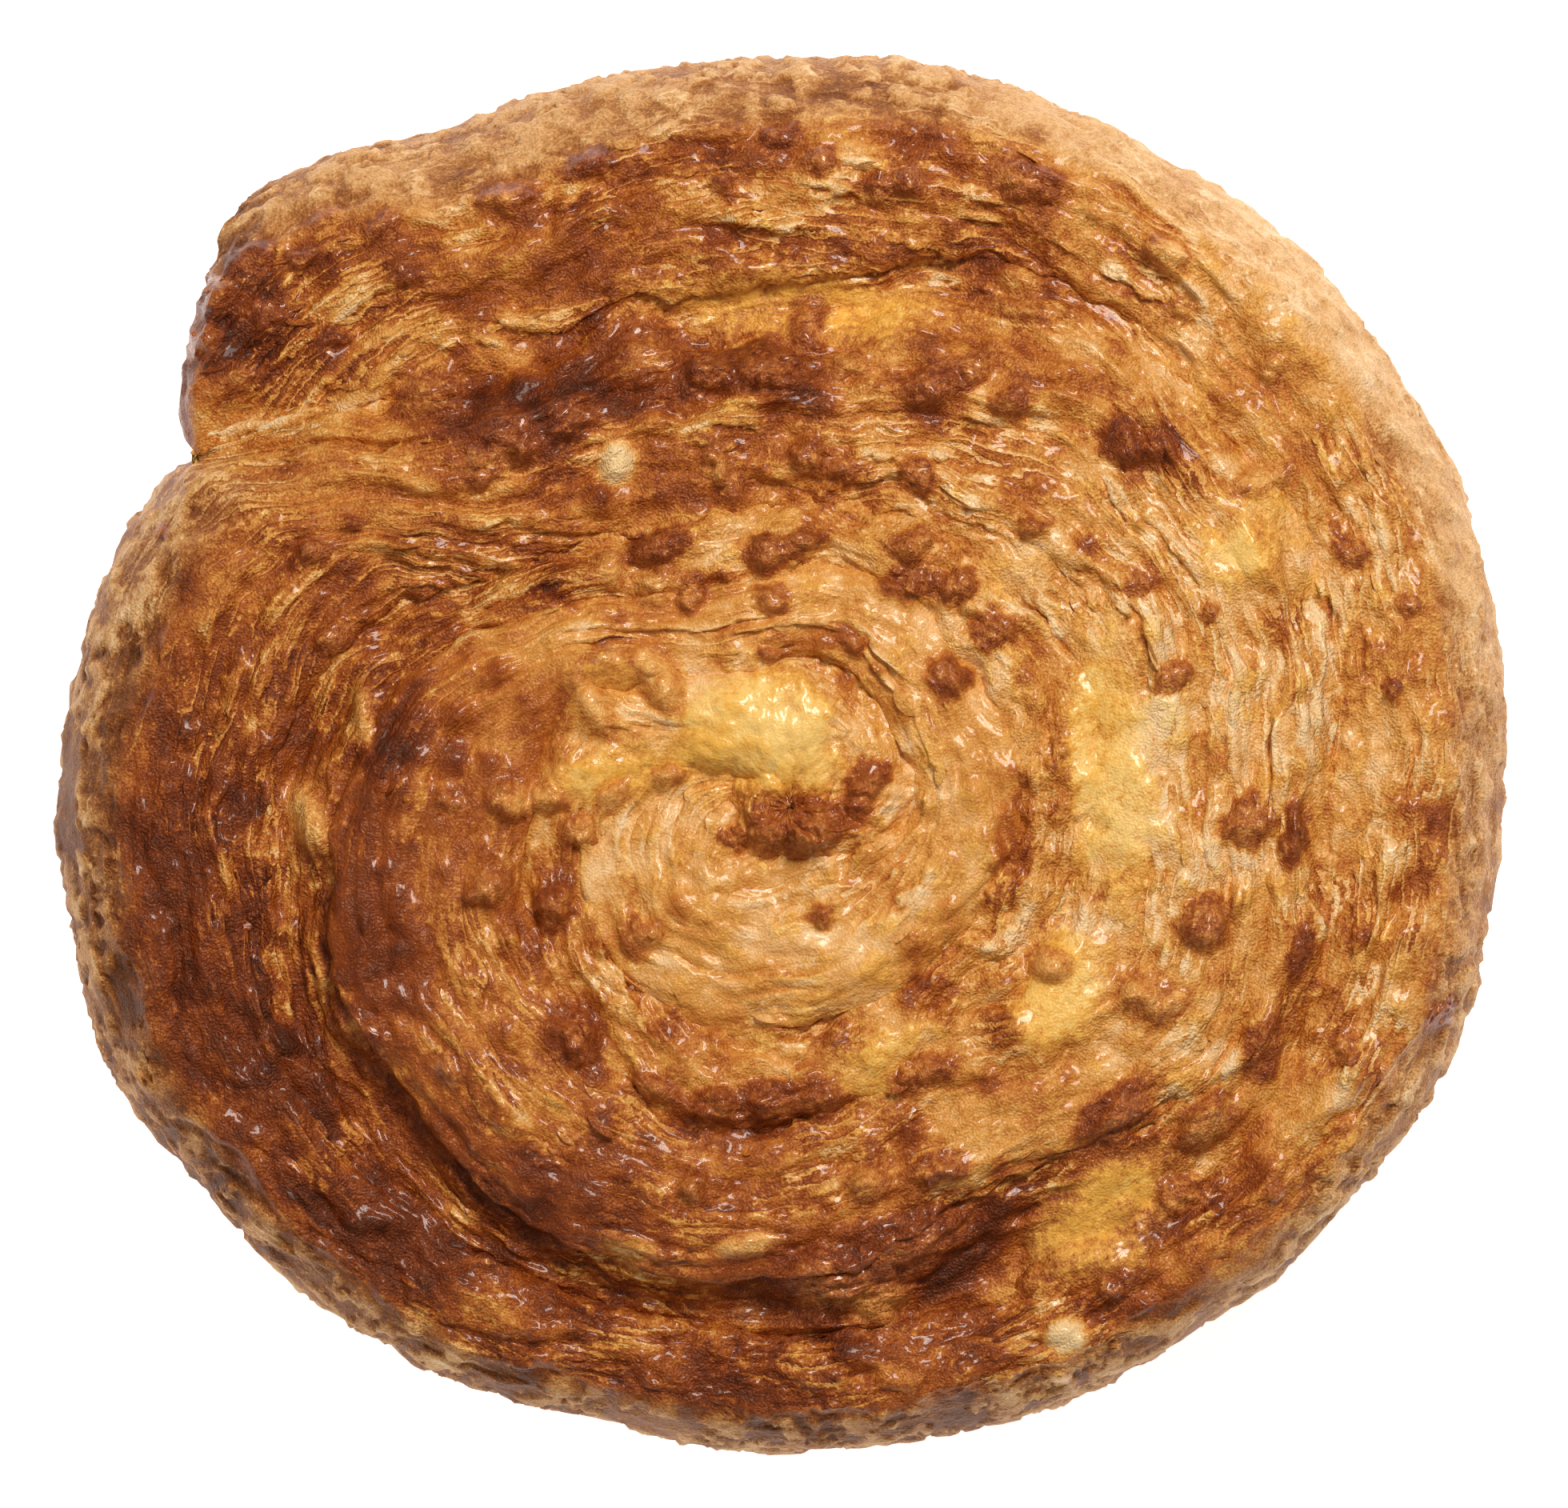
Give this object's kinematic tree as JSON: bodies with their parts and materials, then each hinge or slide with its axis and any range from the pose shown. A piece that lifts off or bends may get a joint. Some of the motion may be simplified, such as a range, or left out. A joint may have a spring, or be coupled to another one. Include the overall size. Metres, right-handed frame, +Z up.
{
  "type": "cheese swirl",
  "caption": "Round baked pastry: a strip of laminated dough coiled flat around a melted cheese filling, with a loose slanted tail and toasted nibs on its ridged top.",
  "frame": {"origin": "centre of the outline on the flat underside", "axes": "+Z up from the underside; +X to the right and +Y away from the viewer, with the tail at the upper left seen from above"},
  "size_m": [0.12, 0.1148, 0.0325],
  "materials": {
    "crust": "baked flaky pastry, golden to dark brown, slightly greasy",
    "cheese": "melted cheese, yellow to toasted brown, soft gloss"
  },
  "bodies": {
    "root": {"dough_coil": "crust", "cheese_filling": "cheese"}
  },
  "joints": []
}
